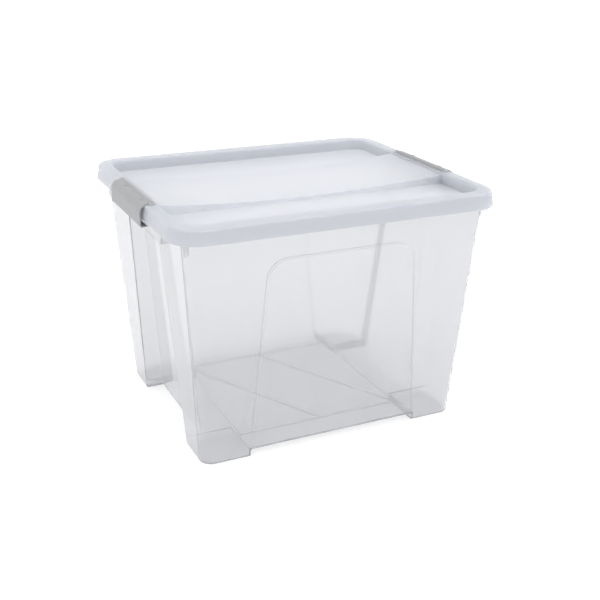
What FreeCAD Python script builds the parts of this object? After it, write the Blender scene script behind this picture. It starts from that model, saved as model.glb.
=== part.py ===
"""Stackable storage bin: a translucent one-piece bin, its lid, and the two grey clips hinged on the lid.

Millimetres, +Z up, X along the long side, the front wall faces -Y.
The origin is on the standing plane, under the middle of the bin.
"""

import FreeCAD, Part
import math
import os

import Sketcher

# Driving dimensions, in mm. "half" sizes are measured from the bin's middle.
DIMENSIONS = {
    # bin shell
    "foot_half_long": 187.5,
    "foot_half_short": 157.0,
    "top_half_long": 209.7,
    "top_half_short": 176.0,
    "wall": 2.1,
    "shell_height": 320.6,
    "corner_round": 17.0,
    "foot_height": 9.8,
    "foot_inner_long": 122.5,
    "foot_inner_short": 90.7,
    "foot_edge_round": 2.4,
    "foot_inner_round": 0.4,
    # hand recess in each short end
    "recess_height": 297.5,
    "recess_depth_low": 21.0,
    "recess_depth_high": 15.5,
    "recess_spread": 0.667,
    "recess_half_low": 90.7,
    "recess_half_high": 65.5,
    "recess_edge_round": 2.6,
    "recess_panel_round": 2.0,
    # arched panel on the front and rear walls
    "panel_half_low": 120.5,
    "panel_half_high": 100.3,
    "panel_low": 9.8,
    "panel_high": 272.0,
    "panel_round": 26.0,
    "panel_step": 1.5,
    # bin rim
    "rim_half_long": 219.5,
    "rim_half_short": 185.0,
    "rim_round": 30.0,
    "rim_plate": 2.0,
    "lip_low": 307.0,
    "skirt_low": 293.0,
    "skirt_half": 118.0,
    "gusset_low": 293.0,
    "gusset_inner": 18.0,
    "gusset_outer": 29.0,
    "gusset_thick": 2.0,
    # ribs under the floor
    "rib_width": 2.0,
    "rib_drop": 2.4,
    "rib_half_long": 118.0,
    "rib_half_short": 112.0,
    # lid
    "lid_half_long": 225.0,
    "lid_half_short": 192.0,
    "lid_round": 40.0,
    "lid_flare": 2.7,
    "lid_low": 308.3,
    "lid_top": 327.6,
    "lid_wall": 2.0,
    "lid_edge_round": 3.0,
    "well_half_long": 205.9,
    "well_half_short": 169.0,
    "well_round": 22.0,
    "well_floor": 312.6,
    "well_edge_round": 3.0,
    "bridge_half": 70.0,
    "bridge_end": 325.6,
    "bridge_middle": 316.1,
    "rest_half_long": 214.8,
    "rest_half_short": 181.8,
    "rest_round": 30.0,
    "rest_width": 1.5,
    "rest_low": 320.9,
    # clips and their hinges
    "hinge_out": 213.0,
    "hinge_high": 327.4,
    "barrel_radius": 3.2,
    "pin_radius": 1.5,
    "pin_fit": 0.06,
    "pin_length": 3.6,
    "clip_half": 65.0,
    "clip_gap": 0.4,
    "clip_plate": 1.6,
    "clip_top": 329.2,
    "clip_out": 229.2,
    "clip_low": 299.5,
    "clip_hook": 220.3,
    "clip_round": 12.0,
    "clip_heel_round": 2.4,
    "seat_drop": 1.3,
    "lug_thick": 4.0,
    "lug_top": 330.0,
    "lug_round": 1.6,
    "mark_long": 6.0,
    "mark_short": 3.2,
    "mark_rise": 0.4,
    "mark_out": 218.6,
    "mark_front": -41.0,
    "mark_rear": 31.0,
}

OVERCUT = 1.0      # mm a cutting solid runs past the face it opens
PICK = 0.05        # mm an edge may stray from the place it's looked for
UPRIGHT = 0.9      # least share of an upright edge's length that is height


class Size:
    """A length in mm that keeps the sheet formula it came from."""

    def __init__(self, value, formula):
        self.value = value
        self.formula = formula

    def combine(self, other, value, sign):
        formula = other.formula if isinstance(other, Size) else repr(float(other))
        return Size(value, "(%s %s %s)" % (self.formula, sign, formula))

    def __add__(self, other):
        return self.combine(other, self.value + number(other), "+")

    def __sub__(self, other):
        return self.combine(other, self.value - number(other), "-")

    def __mul__(self, other):
        return self.combine(other, self.value * number(other), "*")

    def __truediv__(self, other):
        return self.combine(other, self.value / number(other), "/")

    def __radd__(self, other):
        return self + other

    def __neg__(self):
        return Size(-self.value, "(-1 * %s)" % self.formula)


def number(size):
    return size.value if isinstance(size, Size) else float(size)


class Sheet:
    """The spreadsheet, read as sheet.alias."""

    def __init__(self, doc, dimensions):
        self.cells = doc.addObject("Spreadsheet::Sheet", "Sizes")
        for row, (alias, value) in enumerate(dimensions.items(), start=1):
            self.cells.set("A%d" % row, alias)
            self.cells.set("B%d" % row, str(value))
            self.cells.setAlias("B%d" % row, alias)
        self.dimensions = dimensions

    def __getattr__(self, alias):
        return Size(self.dimensions[alias], "Sizes." + alias)


def bind(obj, path, size):
    """Ties one property of an object to the sheet."""
    obj.setExpression(path, size.formula if isinstance(size, Size) else repr(float(size)))


def new_body(doc, label):
    body = doc.addObject("PartDesign::Body", label)
    body.Label = label
    body.Placement = FreeCAD.Placement()
    return body


def origin_plane(body, role):
    return next(item for item in body.Origin.OriginFeatures if item.Role == role)


def plane_sketch(body, name, role, offset):
    """A sketch on one of the body's own origin planes, moved along that plane's normal."""
    sketch = body.newObject("Sketcher::SketchObject", name)
    sketch.AttachmentSupport = [(origin_plane(body, role), "")]
    sketch.MapMode = "FlatFace"
    bind(sketch, "AttachmentOffset.Base.z", offset)
    return sketch


def pin_point(sketch, index, place, across, up):
    """Fixes one point of a sketch at a stated distance from the sketch's origin."""
    for kind, size in (("DistanceX", across), ("DistanceY", up)):
        made = sketch.addConstraint(Sketcher.Constraint(kind, -1, 1, index, place, number(size)))
        bind(sketch, "Constraints[%d]" % made, size)


def draw_loop(sketch, corners):
    """A closed outline of straight lines through the corners."""
    first = sketch.GeometryCount
    count = len(corners)
    for step in range(count):
        start = [number(size) for size in corners[step]]
        end = [number(size) for size in corners[(step + 1) % count]]
        sketch.addGeometry(Part.LineSegment(FreeCAD.Vector(*start, 0), FreeCAD.Vector(*end, 0)))
    for step in range(count):
        following = first + (step + 1) % count
        sketch.addConstraint(Sketcher.Constraint("Coincident", first + step, 2, following, 1))
        pin_point(sketch, first + step, 1, *corners[step])


def draw_circle(sketch, across, up, radius):
    centre = FreeCAD.Vector(number(across), number(up), 0)
    index = sketch.addGeometry(Part.Circle(centre, FreeCAD.Vector(0, 0, 1), number(radius)))
    pin_point(sketch, index, 3, across, up)
    made = sketch.addConstraint(Sketcher.Constraint("Radius", index, number(radius)))
    bind(sketch, "Constraints[%d]" % made, radius)


def box_corners(low_across, high_across, low_up, high_up):
    return [(low_across, low_up), (high_across, low_up), (high_across, high_up), (low_across, high_up)]


def centred(half_across, half_up):
    return box_corners(-half_across, half_across, -half_up, half_up)


def in_all_corners(low_x, high_x, low_y, high_y):
    """The same rectangle in the four corners of the plan."""
    return [
        box_corners(low_x, high_x, low_y, high_y),
        box_corners(-high_x, -low_x, low_y, high_y),
        box_corners(low_x, high_x, -high_y, -low_y),
        box_corners(-high_x, -low_x, -high_y, -low_y),
    ]


def at_both_ends(low_x, high_x, half_y):
    """The same rectangle at the two short ends of the plan."""
    return [box_corners(low_x, high_x, -half_y, half_y), box_corners(-high_x, -low_x, -half_y, half_y)]


def checked(doc, body, feature, grows):
    """Recomputes and makes sure that a feature added or removed material."""
    before = body.Shape.Volume if not body.Shape.isNull() else 0.0
    doc.recompute()
    after = body.Shape.Volume
    if feature.State and ("Invalid" in feature.State or "Error" in feature.State):
        raise RuntimeError("%s failed: %s" % (feature.Name, feature.State))
    if (after > before) != grows:
        states = [(item.Name, item.State) for item in body.Group if "Invalid" in item.State]
        text = "%s changed the volume from %.1f to %.1f %s"
        raise RuntimeError(text % (feature.Name, before, after, states))
    return feature


def add_prism(doc, body, name, low, high, loops, role="XY_Plane"):
    """Adds the outlines, drawn at low, up to high."""
    sketch = plane_sketch(body, name + "_sketch", role, low)
    for loop in loops:
        draw_loop(sketch, loop)
    pad = body.newObject("PartDesign::Pad", name)
    pad.Profile = sketch
    bind(pad, "Length", high - low)
    return checked(doc, body, pad, True)


def cut_prism(doc, body, name, low, high, loops):
    """Removes the outlines, drawn at low, up to high."""
    sketch = plane_sketch(body, name + "_sketch", "XY_Plane", low)
    for loop in loops:
        draw_loop(sketch, loop)
    pocket = body.newObject("PartDesign::Pocket", name)
    pocket.Profile = sketch
    pocket.Reversed = True
    bind(pocket, "Length", high - low)
    return checked(doc, body, pocket, False)


def across_feature(doc, body, kind, name, half, draw):
    """Adds or removes a side outline (X across, Z up) over the full width -half to half in Y."""
    sketch = plane_sketch(body, name + "_sketch", "XZ_Plane", 0.0)
    draw(sketch)
    feature = body.newObject("PartDesign::" + kind, name)
    feature.Profile = sketch
    feature.Midplane = True
    bind(feature, "Length", half * 2)
    return checked(doc, body, feature, kind == "Pad")


def round_edges(doc, body, name, radius, chosen):
    """Rounds the edges of the body's last feature that chosen(edge) accepts."""
    base = body.Tip
    names = ["Edge%d" % (i + 1) for i, edge in enumerate(base.Shape.Edges) if chosen(edge)]
    if not names:
        raise RuntimeError("%s found no edge" % name)
    fillet = body.newObject("PartDesign::Fillet", name)
    fillet.Base = (base, names)
    bind(fillet, "Radius", radius)
    doc.recompute()
    if body.Shape.isNull() or not body.Shape.isValid() or "Invalid" in fillet.State:
        raise RuntimeError("%s failed on %d edges" % (name, len(names)))
    return fillet


def ends_of(edge):
    return [vertex.Point for vertex in edge.Vertexes]


def rises(edge):
    """True for an edge that mainly runs upward."""
    ends = ends_of(edge)
    if len(ends) < 2:
        return False
    run = ends[1] - ends[0]
    return abs(run.z) > UPRIGHT * run.Length


def bin_form(doc, s, label, inset, low, rim, foot_round):
    """The bin's drafted form with its hand recesses and corner feet, every face moved inward by inset."""
    body = new_body(doc, label)
    draft_long = (s.top_half_long - s.foot_half_long) / s.shell_height
    draft_short = (s.top_half_short - s.foot_half_short) / s.shell_height
    levels = []
    for name, high in (("foot_outline", low), ("rim_outline", rim)):
        sketch = plane_sketch(body, label + "_" + name, "XY_Plane", high)
        half_long = s.foot_half_long + draft_long * high - inset
        half_short = s.foot_half_short + draft_short * high - inset
        draw_loop(sketch, centred(half_long, half_short))
        levels.append(sketch)
    loft(doc, body, label + "_block", levels, "PartDesign::AdditiveLoft")
    cut_recesses(doc, body, s, label, inset, low)

    # channels under the floor leave a foot in each corner
    inner_long = s.foot_inner_long + inset
    inner_short = s.foot_inner_short + inset
    far_long = s.top_half_long + OVERCUT
    far_short = s.top_half_short + OVERCUT
    cross = [
        (-inner_long, -far_short), (inner_long, -far_short), (inner_long, -inner_short),
        (far_long, -inner_short), (far_long, inner_short), (inner_long, inner_short),
        (inner_long, far_short), (-inner_long, far_short), (-inner_long, inner_short),
        (-far_long, inner_short), (-far_long, -inner_short), (-inner_long, -inner_short),
    ]
    cut_prism(doc, body, label + "_channels", low - OVERCUT, s.foot_height + inset, [cross])
    round_form(doc, body, s, label, inset, low, foot_round)
    return body


def cut_recesses(doc, body, s, label, inset, low):
    """A recess in each short end, deeper and wider at the bottom, with splayed cheeks."""
    draft = (s.top_half_long - s.foot_half_long) / s.shell_height
    shallower = (s.recess_depth_low - s.recess_depth_high) / s.recess_height
    spread = number(s.recess_spread)
    lean = math.hypot(spread, 1.0) - spread
    for side, sign in (("left", -1.0), ("right", 1.0)):
        levels = []
        for name, high, half in (
            ("low", low - OVERCUT, s.recess_half_low),
            ("high", s.recess_height + inset, s.recess_half_high),
        ):
            face = s.foot_half_long + draft * high
            depth = s.recess_depth_low - shallower * high
            deep = face - depth - inset
            out = face + OVERCUT
            narrow = half - depth * s.recess_spread + inset * lean
            wide = narrow + (out - deep) * s.recess_spread
            sketch = plane_sketch(body, "%s_recess_%s_%s" % (label, side, name), "XY_Plane", high)
            draw_loop(sketch, [(deep * sign, -narrow), (out * sign, -wide),
                               (out * sign, wide), (deep * sign, narrow)])
            levels.append(sketch)
        loft(doc, body, "%s_recess_%s" % (label, side), levels, "PartDesign::SubtractiveLoft")


def round_form(doc, body, s, label, inset, low, foot_round):
    """Rounds the four corners, the outer and inner edges of the recesses, and the feet."""
    face_long = number(s.foot_half_long - inset) - PICK
    face_short = number(s.foot_half_short - inset) - PICK

    def on_end(edge):
        return all(abs(point.x) > face_long for point in ends_of(edge))

    def at_corner(edge):
        return rises(edge) and on_end(edge) and all(abs(point.y) > face_short for point in ends_of(edge))

    def at_cheek(edge):
        return rises(edge) and edge.Length > number(s.recess_height) / 2 and not at_corner(edge)

    def at_foot_rim(edge):
        middle = edge.CenterOfMass
        outward = (abs(middle.x) > number(s.foot_half_long - s.corner_round)
                   or abs(middle.y) > number(s.foot_half_short - s.corner_round))
        level = all(abs(point.z - number(low)) < PICK for point in ends_of(edge))
        return level and outward and edge.Length > number(s.corner_round)

    round_edges(doc, body, label + "_corner_rounds", s.corner_round - inset, at_corner)
    round_edges(doc, body, label + "_cheek_rounds", s.recess_edge_round - inset,
                lambda edge: at_cheek(edge) and on_end(edge))
    round_edges(doc, body, label + "_panel_rounds", s.recess_panel_round + inset,
                lambda edge: at_cheek(edge) and not on_end(edge))
    round_edges(doc, body, label + "_foot_rounds", foot_round, at_foot_rim)


def loft(doc, body, name, levels, kind):
    feature = body.newObject(kind, name)
    feature.Profile = levels[0]
    feature.Sections = levels[1:]
    feature.Ruled = True
    return checked(doc, body, feature, kind == "PartDesign::AdditiveLoft")


def rounded_prism(doc, body, name, low, high, outline, kind="PartDesign::Pad", lean=None):
    """Adds or removes a plate with four rounded corners, its sides leaning inward by lean degrees."""
    sketch = plane_sketch(body, name + "_sketch", "XY_Plane", low)
    draw_rounded(sketch, *outline)
    feature = body.newObject(kind, name)
    feature.Profile = sketch
    feature.Reversed = kind.endswith("Pocket")
    bind(feature, "Length", high - low)
    if lean:
        bind(feature, "TaperAngle", lean)
    return checked(doc, body, feature, kind.endswith("Pad"))


def draw_rounded(sketch, half_long, half_short, corner):
    """A rectangle about the origin with four equal corner arcs."""
    wide, deep, radius = number(half_long), number(half_short), number(corner)
    first = sketch.GeometryCount
    flat_x, flat_y = wide - radius, deep - radius
    sides = [
        ((-flat_x, -deep), (flat_x, -deep)), ((wide, -flat_y), (wide, flat_y)),
        ((flat_x, deep), (-flat_x, deep)), ((-wide, flat_y), (-wide, -flat_y)),
    ]
    centres = [(flat_x, -flat_y), (flat_x, flat_y), (-flat_x, flat_y), (-flat_x, -flat_y)]
    for side in range(4):
        start, end = sides[side]
        sketch.addGeometry(Part.LineSegment(FreeCAD.Vector(*start, 0), FreeCAD.Vector(*end, 0)))
        circle = Part.Circle(FreeCAD.Vector(*centres[side], 0), FreeCAD.Vector(0, 0, 1), radius)
        turn = (side - 1) * math.pi / 2
        sketch.addGeometry(Part.ArcOfCircle(circle, turn, turn + math.pi / 2))
    for side in range(4):
        line = first + 2 * side
        following = first + (2 * side + 2) % 8
        sketch.addConstraint(Sketcher.Constraint("Tangent", line, 2, line + 1, 1))
        sketch.addConstraint(Sketcher.Constraint("Tangent", line + 1, 2, following, 1))
    for index, across, up in (
        (1, half_long - corner, corner - half_short), (3, half_long - corner, half_short - corner),
        (5, corner - half_long, half_short - corner), (7, corner - half_long, corner - half_short),
    ):
        pin_point(sketch, first + index, 3, across, up)
    made = sketch.addConstraint(Sketcher.Constraint("Radius", first + 1, radius))
    bind(sketch, "Constraints[%d]" % made, corner)
    for arc in (3, 5, 7):
        sketch.addConstraint(Sketcher.Constraint("Equal", first + 1, first + arc))


def inset_outline(outline, inset):
    """A rounded outline (half length, half width, corner) moved inward."""
    return [size - inset for size in outline]


def add_ring(doc, body, name, low, high, outside, inside):
    """Adds a rounded ring between two outlines, each given as half length, half width and corner."""
    sketch = plane_sketch(body, name + "_sketch", "XY_Plane", low)
    draw_rounded(sketch, *outside)
    draw_rounded(sketch, *inside)
    pad = body.newObject("PartDesign::Pad", name)
    pad.Profile = sketch
    bind(pad, "Length", high - low)
    return checked(doc, body, pad, True)


def build_bin(doc, s):
    """The bin: drafted walls, hand recesses, hollow corner feet, rim, skirts and floor ribs."""
    body = bin_form(doc, s, "bin_outer", 0.0, 0.0, s.shell_height, s.foot_edge_round)
    plate_low = s.shell_height - s.rim_plate
    wall_long = s.top_half_long - s.wall
    skirt_in = s.rim_half_long - s.rim_plate

    rim = (s.rim_half_long, s.rim_half_short, s.rim_round)
    rounded_prism(doc, body, "rim_plate", plate_low, s.shell_height, rim)
    add_ring(doc, body, "rim_lip", s.lip_low, plate_low, rim, inset_outline(rim, s.rim_plate))
    add_prism(doc, body, "skirts", s.skirt_low, s.lip_low,
              at_both_ends(skirt_in, s.rim_half_long, s.skirt_half))
    add_prism(doc, body, "skirt_ends", s.skirt_low, plate_low,
              in_all_corners(wall_long, s.rim_half_long, s.skirt_half - s.rim_plate, s.skirt_half))
    add_prism(doc, body, "corner_gussets", s.gusset_low, plate_low, gusset_outlines(s))
    add_floor_ribs(doc, body, s)
    cut_panels(doc, body, s, 0.0)

    cavity = bin_form(doc, s, "bin_cavity", s.wall, s.wall, s.shell_height + OVERCUT, s.foot_inner_round)
    cut_panels(doc, cavity, s, s.wall)
    shell = doc.addObject("Part::Cut", "bin_body")
    shell.Label = "bin_body"
    shell.Base = body
    shell.Tool = cavity
    shell.Placement = FreeCAD.Placement()
    doc.recompute()
    return shell


def gusset_outlines(s):
    """Four upright plates, each on the diagonal from the middle of a rim corner's arc to the rim."""
    diagonal = math.sqrt(0.5)
    middle_x = s.rim_half_long - s.rim_round
    middle_y = s.rim_half_short - s.rim_round
    half = s.gusset_thick / 2
    quarter = [
        (middle_x + (reach + across) * diagonal, middle_y + (reach - across) * diagonal)
        for reach, across in ((s.gusset_inner, -half), (s.gusset_outer, -half),
                              (s.gusset_outer, half), (s.gusset_inner, half))
    ]
    return [[(x * sign_x, y * sign_y) for x, y in quarter]
            for sign_x, sign_y in ((1.0, 1.0), (-1.0, 1.0), (-1.0, -1.0), (1.0, -1.0))]


def add_floor_ribs(doc, body, s):
    """Ribs on the underside of the floor, between the feet: a frame with a cross in each half."""
    low = s.foot_height - s.rib_drop
    high = s.foot_height + s.wall / 2
    slope = number(s.rib_half_long) / (2 * number(s.rib_half_short))
    across = s.rib_width * (math.hypot(slope, 1.0) / 2)
    for side, sign in (("left", -1.0), ("right", 1.0)):
        for name, near, far in (("rising", 0.0, sign), ("falling", sign, 0.0)):
            start, end = s.rib_half_long * near, s.rib_half_long * far
            loop = [(start - across, -s.rib_half_short), (start + across, -s.rib_half_short),
                    (end + across, s.rib_half_short), (end - across, s.rib_half_short)]
            add_prism(doc, body, "rib_%s_%s" % (side, name), low, high, [loop])
    frame = [centred(s.rib_half_long + s.rib_width, s.rib_half_short + s.rib_width),
             centred(s.rib_half_long, s.rib_half_short)]
    add_prism(doc, body, "rib_frame", low, high, frame)


def cut_panels(doc, body, s, inset):
    """A shallow arched panel in the front and rear walls, its floor parallel to the wall."""
    draft = (s.top_half_short - s.foot_half_short) / s.shell_height
    for name, sign in (("front", 1.0), ("rear", -1.0)):
        label = "%s_%s_panel" % (body.Label, name)
        outside = s.foot_half_short - inset + OVERCUT
        sketch = plane_sketch(body, label + "_sketch", "XZ_Plane", outside * sign)
        turn = FreeCAD.Rotation(FreeCAD.Vector(1, 0, 0), math.degrees(math.atan(number(draft))) * sign)
        sketch.AttachmentOffset = FreeCAD.Placement(sketch.AttachmentOffset.Base, turn)
        sketch.setExpression("AttachmentOffset.Rotation.Angle", "atan(%s)" % (draft * sign).formula)
        draw_arch(sketch, s, inset)
        pocket = body.newObject("PartDesign::Pocket", label)
        pocket.Profile = sketch
        pocket.Reversed = sign < 0
        bind(pocket, "Length", s.panel_step + OVERCUT)
        checked(doc, body, pocket, False)


def draw_arch(sketch, s, grow):
    """The panel's outline: sides that lean inward, a level top and two corner arcs."""
    half_low, half_high = s.panel_half_low + grow, s.panel_half_high + grow
    bottom_up, top_up, round_size = s.panel_low - OVERCUT, s.panel_high + grow, s.panel_round + grow
    low, high, radius = number(bottom_up), number(top_up), number(round_size)
    corner = FreeCAD.Vector(number(half_high), high, 0)
    foot = FreeCAD.Vector(number(half_low), low, 0)
    down = (foot - corner).normalize()
    inward = FreeCAD.Vector(-1, 0, 0)
    half_turn = down.getAngle(inward) / 2
    centre = corner + (down + inward).normalize() * (radius / math.sin(half_turn))
    side_end = corner + down * (radius / math.tan(half_turn))
    top_end = corner + inward * (radius / math.tan(half_turn))

    def mirrored(point):
        return FreeCAD.Vector(-point.x, point.y, 0)

    def arc(middle, start):
        circle = Part.Circle(middle, FreeCAD.Vector(0, 0, 1), radius)
        begin = math.atan2(start.y - middle.y, start.x - middle.x)
        return Part.ArcOfCircle(circle, begin, begin + math.pi - 2 * half_turn)

    sketch.addGeometry([
        Part.LineSegment(mirrored(foot), foot), Part.LineSegment(foot, side_end), arc(centre, side_end),
        Part.LineSegment(top_end, mirrored(top_end)), arc(mirrored(centre), mirrored(top_end)),
        Part.LineSegment(mirrored(side_end), mirrored(foot)),
    ])
    bottom, right, right_arc, level, left_arc, left = range(6)
    for one, other in ((bottom, right), (left, bottom)):
        sketch.addConstraint(Sketcher.Constraint("Coincident", one, 2, other, 1))
    for one, other in ((right, right_arc), (right_arc, level), (level, left_arc), (left_arc, left)):
        sketch.addConstraint(Sketcher.Constraint("Tangent", one, 2, other, 1))
    pin_point(sketch, bottom, 1, -half_low, bottom_up)
    pin_point(sketch, bottom, 2, half_low, bottom_up)
    for side, sign in ((right, 1.0), (left, -1.0)):
        point = sketch.addGeometry(Part.Point(FreeCAD.Vector(corner.x * sign, corner.y, 0)), True)
        pin_point(sketch, point, 1, half_high * sign, top_up)
        sketch.addConstraint(Sketcher.Constraint("PointOnObject", point, 1, side))
        if side == right:
            sketch.addConstraint(Sketcher.Constraint("PointOnObject", point, 1, level))
    sketch.addConstraint(Sketcher.Constraint("Horizontal", level))
    sketch.addConstraint(Sketcher.Constraint("Equal", right_arc, left_arc))
    made = sketch.addConstraint(Sketcher.Constraint("Radius", right_arc, radius))
    bind(sketch, "Constraints[%d]" % made, round_size)


def build_lid(doc, s):
    """The lid: a flared rim over the bin's rim, two sunken wells and a bridge between the clips."""
    body = new_body(doc, "lid")
    under = s.lid_top - s.lid_wall
    well_low = s.well_floor - s.lid_wall
    outside = (s.lid_half_long, s.lid_half_short, s.lid_round)
    well = (s.well_half_long, s.well_half_short, s.well_round)
    rest = (s.rest_half_long, s.rest_half_short, s.rest_round)
    flare = s.lid_flare / (s.lid_top - s.lid_low)
    lean = Size(-math.degrees(math.atan(number(flare))), "-atan(%s)" % flare.formula)

    def level_edge(high):
        return lambda edge: all(abs(point.z - number(high)) < PICK for point in ends_of(edge))

    rounded_prism(doc, body, "lid_block", s.lid_low, s.lid_top, outside, lean=lean)
    round_edges(doc, body, "rim_round", s.lid_edge_round, level_edge(s.lid_top))
    rounded_prism(doc, body, "under_hollow", s.lid_low, under, inset_outline(outside, s.lid_wall),
                  "PartDesign::Pocket", lean)
    round_edges(doc, body, "under_round", s.lid_edge_round - s.lid_wall, level_edge(under))
    rounded_prism(doc, body, "well_block", well_low, under, well)
    rounded_prism(doc, body, "wells", s.well_floor, s.lid_top + OVERCUT, inset_outline(well, s.lid_wall),
                  "PartDesign::Pocket")

    def at_well_mouth(edge):
        inside = all(abs(point.x) < number(s.well_half_long) for point in ends_of(edge))
        return inside and level_edge(s.lid_top)(edge)

    round_edges(doc, body, "well_round", s.well_edge_round, at_well_mouth)
    add_ring(doc, body, "rest_rib", s.rest_low, under, rest, inset_outline(rest, s.rest_width))

    def draw_outside(sketch):
        draw_bridge(sketch, s.well_half_long - s.lid_wall / 2, well_low, s.bridge_end, s.bridge_middle)

    def draw_inside(sketch):
        draw_bridge(sketch, s.well_half_long - s.lid_wall * 2, well_low - OVERCUT,
                    s.bridge_end - s.lid_wall, s.bridge_middle - s.lid_wall)

    across_feature(doc, body, "Pad", "bridge", s.bridge_half, draw_outside)
    across_feature(doc, body, "Pocket", "bridge_hollow", s.bridge_half - s.lid_wall, draw_inside)
    add_hinge_seats(doc, body, s)
    return body


def draw_bridge(sketch, half, low, end, middle):
    """A side outline whose top sags in one arc from end to end."""
    sag = end - middle
    radius = (half * half + sag * sag) / (sag * 2)
    wide, bottom, top = number(half), number(low), number(end)
    centre = FreeCAD.Vector(0, number(middle) + number(radius), 0)
    sweep = math.asin(wide / number(radius))
    down = -math.pi / 2
    circle = Part.Circle(centre, FreeCAD.Vector(0, 0, 1), number(radius))
    corners = [(-wide, bottom), (wide, bottom), (wide, top), (-wide, top)]
    points = [FreeCAD.Vector(*corner, 0) for corner in corners]
    sketch.addGeometry([
        Part.LineSegment(points[0], points[1]), Part.LineSegment(points[1], points[2]),
        Part.LineSegment(points[3], points[0]), Part.ArcOfCircle(circle, down - sweep, down + sweep),
    ])
    floor, right, left, arc = range(4)
    for one, one_end, other, other_end in (
        (floor, 2, right, 1), (right, 2, arc, 2), (left, 1, arc, 1), (left, 2, floor, 1),
    ):
        sketch.addConstraint(Sketcher.Constraint("Coincident", one, one_end, other, other_end))
    pin_point(sketch, floor, 1, -half, low)
    pin_point(sketch, floor, 2, half, low)
    pin_point(sketch, right, 2, half, end)
    pin_point(sketch, left, 1, -half, end)
    made = sketch.addConstraint(Sketcher.Constraint("Radius", arc, number(radius)))
    bind(sketch, "Constraints[%d]" % made, radius)


def add_hinge_seats(doc, body, s):
    """At each short end: a lowered seat, a channel for the clip's barrel and two lugs with pin holes."""
    reach = s.barrel_radius + s.clip_gap
    inner, outer = s.hinge_out - reach, s.hinge_out + reach
    channel_half = s.clip_half + s.clip_gap
    lug_half = channel_half + s.lug_thick
    under = s.lid_top - s.lid_wall
    channel_low = s.hinge_high - reach
    seat = s.lid_top - s.seat_drop

    add_prism(doc, body, "hinge_blocks", channel_low - s.lid_wall, under,
              at_both_ends(inner - s.lid_wall, outer + s.lid_wall, lug_half))
    add_prism(doc, body, "seat_plates", seat - s.lid_wall, under,
              at_both_ends(outer, s.lid_half_long - s.lid_flare - s.lid_wall / 2, channel_half))
    cut_prism(doc, body, "clip_seats", seat, s.lid_top + OVERCUT,
              at_both_ends(inner, s.lid_half_long + OVERCUT, channel_half))
    add_prism(doc, body, "lugs", under, s.lug_top, in_all_corners(inner, outer, channel_half, lug_half))

    def at_lug_top(edge):
        ends = ends_of(edge)
        level = all(abs(point.z - number(s.lug_top)) < PICK for point in ends)
        return level and abs(ends[0].x - ends[1].x) < PICK

    round_edges(doc, body, "lug_rounds", s.lug_round, at_lug_top)
    cut_prism(doc, body, "barrel_channels", channel_low, s.lid_top + OVERCUT,
              at_both_ends(inner, outer, channel_half))

    def draw_holes(sketch):
        for sign in (-1.0, 1.0):
            draw_circle(sketch, s.hinge_out * sign, s.hinge_high, s.pin_radius + s.pin_fit)

    across_feature(doc, body, "Pocket", "pin_holes", s.clip_half + s.pin_length + s.clip_gap, draw_holes)


def build_clip(doc, s, label, sign):
    """A C-shaped clip: hinge barrel with end pins, top plate, outer plate and inward hook."""
    body = new_body(doc, label)
    plate = s.clip_plate
    outline = [
        (s.hinge_out, s.clip_top - plate), (s.clip_out - plate, s.clip_top - plate),
        (s.clip_out - plate, s.clip_low + plate), (s.clip_hook, s.clip_low + plate),
        (s.clip_hook, s.clip_low), (s.clip_out, s.clip_low), (s.clip_out, s.clip_top),
        (s.hinge_out, s.clip_top),
    ]
    across_feature(doc, body, "Pad", label + "_strap", s.clip_half, lambda sketch: draw_loop(
        sketch, [(across * sign, up) for across, up in outline]))

    def near(across, up):
        def chosen(edge):
            ends = ends_of(edge)
            return all(abs(point.x - sign * number(across)) < PICK and abs(point.z - number(up)) < PICK
                       for point in ends)
        return chosen

    for name, radius, across, up in (
        ("shoulder_inner", s.clip_round - plate, s.clip_out - plate, s.clip_top - plate),
        ("shoulder", s.clip_round, s.clip_out, s.clip_top),
        ("heel_inner", s.clip_heel_round - plate, s.clip_out - plate, s.clip_low + plate),
        ("heel", s.clip_heel_round, s.clip_out, s.clip_low),
    ):
        round_edges(doc, body, "%s_%s" % (label, name), radius, near(across, up))
    half_mark = s.mark_short / 2
    marks = [box_corners((s.mark_out - half_mark) * sign, (s.mark_out + half_mark) * sign,
                         place - s.mark_long / 2, place + s.mark_long / 2)
             for place in (s.mark_front, s.mark_rear)]
    add_prism(doc, body, label + "_marks", s.clip_top - plate / 2, s.clip_top + s.mark_rise, marks)
    for name, radius, half in (("barrel", s.barrel_radius, s.clip_half),
                               ("pins", s.pin_radius, s.clip_half + s.pin_length)):
        across_feature(doc, body, "Pad", "%s_%s" % (label, name), half, lambda sketch: draw_circle(
            sketch, s.hinge_out * sign, s.hinge_high, radius))
    return body


def check_document(doc, pieces):
    """Stops with a plain message if any object failed or any piece isn't one valid solid."""
    for item in doc.Objects:
        if "Invalid" in item.State or "Error" in item.State:
            raise RuntimeError("%s is %s" % (item.Name, item.State))
    for piece in pieces:
        shape = piece.Shape
        if shape.isNull() or not shape.isValid() or len(shape.Solids) != 1:
            raise RuntimeError("%s isn't one valid solid" % piece.Label)


def main():
    doc = FreeCAD.newDocument("storage_bin")
    sheet = Sheet(doc, DIMENSIONS)
    doc.recompute()
    pieces = [
        build_lid(doc, sheet),
        build_clip(doc, sheet, "clip_left", -1.0),
        build_clip(doc, sheet, "clip_right", 1.0),
        build_bin(doc, sheet),
    ]
    doc.recompute()
    check_document(doc, pieces)
    os.makedirs("parts", exist_ok=True)
    for piece in pieces:
        piece.Shape.exportStep("parts/%s.step" % piece.Label)
        box = piece.Shape.BoundBox
        print("%-12s volume %10.0f  x %.1f to %.1f  y %.1f to %.1f  z %.1f to %.1f" % (
            piece.Label, piece.Shape.Volume, box.XMin, box.XMax, box.YMin, box.YMax, box.ZMin, box.ZMax))


main()
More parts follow.
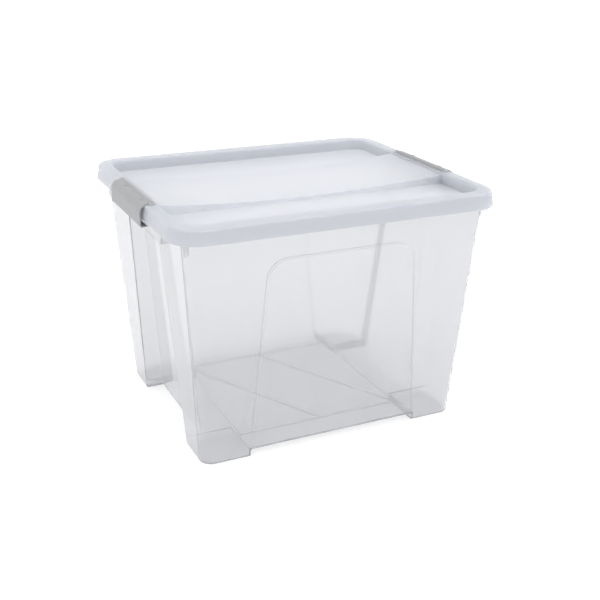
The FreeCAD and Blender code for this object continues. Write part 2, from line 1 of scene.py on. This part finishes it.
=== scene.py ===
"""Looks of the stackable storage bin: translucent bin and lid, grey clips, pale studio."""

import math

import bpy
from mathutils import Matrix, Vector

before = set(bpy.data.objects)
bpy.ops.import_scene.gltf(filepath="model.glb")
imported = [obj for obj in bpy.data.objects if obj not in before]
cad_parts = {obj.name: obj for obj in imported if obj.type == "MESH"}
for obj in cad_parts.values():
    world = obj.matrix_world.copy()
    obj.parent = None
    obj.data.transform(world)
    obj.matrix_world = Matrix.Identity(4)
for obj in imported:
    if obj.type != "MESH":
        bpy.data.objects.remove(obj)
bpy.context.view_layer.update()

# Camera: a short telephoto in front of the left front corner, a little above the lid.
CAMERA_AZIMUTH = math.radians(-25.5)
CAMERA_ELEVATION = math.radians(21.62)
CAMERA_ROLL = math.radians(0.69)
CAMERA_DISTANCE = 1.354
CAMERA_TARGET = Vector((0.0, -0.0446, 0.160))
CAMERA_LENS = 58.18

CAMERA_SENSOR = 36.0
CAMERA_REACH = 200.0

# Clear plastic: pale and deep colour, roughness, and the share of it that is milky.
CLEAR_BIN = ((0.886, 0.889, 0.902), (0.875, 0.878, 0.891), 0.08, 0.18)
CLEAR_LID = ((0.928, 0.940, 0.972), (0.918, 0.932, 0.967), 0.10, 0.52)
CLEAR_IOR = 1.30
CLEAR_CLOUD_SCALE = 6.0
CLEAR_CLOUD_DETAIL = 2.0
HAZE_LEAST = 0.9
HAZE_MOST = 1.1
MILK_THROUGH = 0.6

# Grey plastic of the clips: pale and deep colour, then its satin grain.
GREY_CLIP = ((0.36, 0.365, 0.375), (0.33, 0.335, 0.345))
GREY_IOR = 1.5
GREY_SPECULAR = 0.3
GREY_CLOUD_SCALE = 40.0
GREY_CLOUD_DETAIL = 4.0
GRAIN_SCALE = 1400.0
GRAIN_DETAIL = 2.0
GRAIN_ROUGHNESS = (0.45, 0.60)
GRAIN_STRENGTH = 0.12
GRAIN_DEPTH = 0.0001

# The noise's usual range, which is spread over whatever it drives.
NOISE_LOW = 0.3
NOISE_HIGH = 0.7

# The floor lies a hair below the feet and lights itself a little, so that it stays white.
FLOOR_HALF = 30.0
FLOOR_DROP = 0.0003
FLOOR_COLOUR = (0.60, 0.60, 0.60, 1.0)
FLOOR_GLOW = 0.55
WHITE = (1.0, 1.0, 1.0, 1.0)

# The room is a little brighter overhead than below.
BRIGHT_SIDE = (0.15, 0.35, 0.93)
ROOM_DIM = 1.08
ROOM_BRIGHT = 1.18

SOFTBOX_PLACE = (0.4, 0.5, 2.6)
SOFTBOX_TARGET = (0.0, 0.0, 0.15)
SOFTBOX_SIZE = 1.6
SOFTBOX_POWER = 5.0

# Light has to pass many thin walls before it is lost.
THROUGH_BOUNCES = 40
GLOSSY_BOUNCES = 16
DIFFUSE_BOUNCES = 12


def make_camera():
    """A level view of the bin from its azimuth and elevation, with a slight roll."""
    right = Vector((math.cos(CAMERA_AZIMUTH), math.sin(CAMERA_AZIMUTH), 0.0))
    level = Vector((math.sin(CAMERA_AZIMUTH), -math.cos(CAMERA_AZIMUTH), 0.0))
    back = level * math.cos(CAMERA_ELEVATION) + Vector((0.0, 0.0, math.sin(CAMERA_ELEVATION)))
    up = back.cross(right)
    rolled_right = right * math.cos(CAMERA_ROLL) + up * math.sin(CAMERA_ROLL)
    rolled_up = up * math.cos(CAMERA_ROLL) - right * math.sin(CAMERA_ROLL)
    data = bpy.data.cameras.new("camera")
    data.lens = CAMERA_LENS
    data.sensor_width = CAMERA_SENSOR
    data.clip_end = CAMERA_REACH
    camera = bpy.data.objects.new("camera", data)
    turn = Matrix((rolled_right, rolled_up, back)).transposed().to_4x4()
    camera.matrix_world = Matrix.Translation(CAMERA_TARGET + back * CAMERA_DISTANCE) @ turn
    bpy.context.collection.objects.link(camera)
    bpy.context.scene.camera = camera


def new_material(name):
    material = bpy.data.materials.new(name)
    material.use_nodes = True
    material.node_tree.nodes.clear()
    return material, material.node_tree.nodes, material.node_tree.links


def noise(nodes, links, coordinates, scale, detail):
    node = nodes.new("ShaderNodeTexNoise")
    node.inputs["Scale"].default_value = scale
    node.inputs["Detail"].default_value = detail
    links.new(coordinates, node.inputs["Vector"])
    return node.outputs["Fac"]


def remap(nodes, links, value, low, high, from_low=NOISE_LOW, from_high=NOISE_HIGH):
    node = nodes.new("ShaderNodeMapRange")
    node.inputs["From Min"].default_value = from_low
    node.inputs["From Max"].default_value = from_high
    node.inputs["To Min"].default_value = low
    node.inputs["To Max"].default_value = high
    links.new(value, node.inputs["Value"])
    return node.outputs["Result"]


def blend_colour(nodes, links, value, low, high):
    node = nodes.new("ShaderNodeMix")
    node.data_type = "RGBA"
    links.new(value, node.inputs["Factor"])
    node.inputs["A"].default_value = (*low, 1.0)
    node.inputs["B"].default_value = (*high, 1.0)
    return node.outputs["Result"]


def mix_shaders(nodes, links, share, first, second):
    mix = nodes.new("ShaderNodeMixShader")
    mix.inputs["Fac"].default_value = share
    links.new(first.outputs[0], mix.inputs[1])
    links.new(second.outputs[0], mix.inputs[2])
    return mix


def translucent_plastic(name, pale, deep, haze, milk):
    """Natural polypropylene: a refracting wall with a milky share that scatters light."""
    material, nodes, links = new_material(name)
    place = nodes.new("ShaderNodeTexCoord").outputs["Object"]
    cloud = noise(nodes, links, place, CLEAR_CLOUD_SCALE, CLEAR_CLOUD_DETAIL)
    colour = blend_colour(nodes, links, cloud, deep, pale)
    clear = nodes.new("ShaderNodeBsdfPrincipled")
    clear.inputs["IOR"].default_value = CLEAR_IOR
    clear.inputs["Transmission Weight"].default_value = 1.0
    links.new(colour, clear.inputs["Base Color"])
    roughness = remap(nodes, links, cloud, haze * HAZE_LEAST, haze * HAZE_MOST)
    links.new(roughness, clear.inputs["Roughness"])
    back = nodes.new("ShaderNodeBsdfDiffuse")
    through = nodes.new("ShaderNodeBsdfTranslucent")
    for shader in (back, through):
        links.new(colour, shader.inputs["Color"])
    milky = mix_shaders(nodes, links, MILK_THROUGH, back, through)
    whole = mix_shaders(nodes, links, milk, clear, milky)
    output = nodes.new("ShaderNodeOutputMaterial")
    links.new(whole.outputs[0], output.inputs["Surface"])
    return material


def grey_plastic(name, pale, deep):
    """The clips' opaque light grey plastic, with a fine satin grain."""
    material, nodes, links = new_material(name)
    place = nodes.new("ShaderNodeTexCoord").outputs["Object"]
    cloud = noise(nodes, links, place, GREY_CLOUD_SCALE, GREY_CLOUD_DETAIL)
    grain = noise(nodes, links, place, GRAIN_SCALE, GRAIN_DETAIL)
    surface = nodes.new("ShaderNodeBsdfPrincipled")
    surface.inputs["IOR"].default_value = GREY_IOR
    surface.inputs["Specular IOR Level"].default_value = GREY_SPECULAR
    links.new(blend_colour(nodes, links, cloud, deep, pale), surface.inputs["Base Color"])
    links.new(remap(nodes, links, grain, *GRAIN_ROUGHNESS), surface.inputs["Roughness"])
    bump = nodes.new("ShaderNodeBump")
    bump.inputs["Strength"].default_value = GRAIN_STRENGTH
    bump.inputs["Distance"].default_value = GRAIN_DEPTH
    links.new(grain, bump.inputs["Height"])
    links.new(bump.outputs["Normal"], surface.inputs["Normal"])
    output = nodes.new("ShaderNodeOutputMaterial")
    links.new(surface.outputs["BSDF"], output.inputs["Surface"])
    return material


def dress(node, material):
    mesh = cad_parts[node].data
    mesh.materials.clear()
    mesh.materials.append(material)


def make_floor():
    bpy.ops.mesh.primitive_plane_add(size=2 * FLOOR_HALF, location=(0.0, 0.0, -FLOOR_DROP))
    floor = bpy.context.active_object
    floor.name = "floor"
    material, nodes, links = new_material("pale_floor")
    surface = nodes.new("ShaderNodeBsdfPrincipled")
    surface.inputs["Base Color"].default_value = FLOOR_COLOUR
    surface.inputs["Specular IOR Level"].default_value = 0.0
    surface.inputs["Roughness"].default_value = 1.0
    surface.inputs["Emission Color"].default_value = WHITE
    surface.inputs["Emission Strength"].default_value = FLOOR_GLOW
    output = nodes.new("ShaderNodeOutputMaterial")
    links.new(surface.outputs["BSDF"], output.inputs["Surface"])
    floor.data.materials.append(material)


def make_light(name, place, target, size, power):
    data = bpy.data.lights.new(name, "AREA")
    data.shape = "SQUARE"
    data.size = size
    data.energy = power
    light = bpy.data.objects.new(name, data)
    light.location = place
    light.rotation_euler = (Vector(target) - Vector(place)).to_track_quat("-Z", "Y").to_euler()
    bpy.context.collection.objects.link(light)


def make_world():
    """A white room whose brightness rises smoothly towards BRIGHT_SIDE."""
    world = bpy.data.worlds.new("studio")
    world.use_nodes = True
    nodes, links = world.node_tree.nodes, world.node_tree.links
    background = nodes["Background"]
    direction = nodes.new("ShaderNodeTexCoord").outputs["Generated"]
    toward = nodes.new("ShaderNodeVectorMath")
    toward.operation = "DOT_PRODUCT"
    toward.inputs[1].default_value = Vector(BRIGHT_SIDE).normalized()
    links.new(direction, toward.inputs[0])
    strength = remap(nodes, links, toward.outputs["Value"], ROOM_DIM, ROOM_BRIGHT, -1.0, 1.0)
    links.new(strength, background.inputs["Strength"])
    background.inputs["Color"].default_value = WHITE
    bpy.context.scene.world = world


def make_studio():
    make_world()
    make_light("softbox", SOFTBOX_PLACE, SOFTBOX_TARGET, SOFTBOX_SIZE, SOFTBOX_POWER)
    make_floor()
    view = bpy.context.scene.view_settings
    view.view_transform = "Standard"
    cycles = bpy.context.scene.cycles
    cycles.max_bounces = THROUGH_BOUNCES
    cycles.transmission_bounces = THROUGH_BOUNCES
    cycles.glossy_bounces = GLOSSY_BOUNCES
    cycles.diffuse_bounces = DIFFUSE_BOUNCES
    cycles.use_denoising = True


make_camera()
make_studio()
dress("bin_body", translucent_plastic("clear_bin", *CLEAR_BIN))
dress("lid", translucent_plastic("clear_lid", *CLEAR_LID))
grey = grey_plastic("grey_clip", *GREY_CLIP)
dress("clip_left", grey)
dress("clip_right", grey)
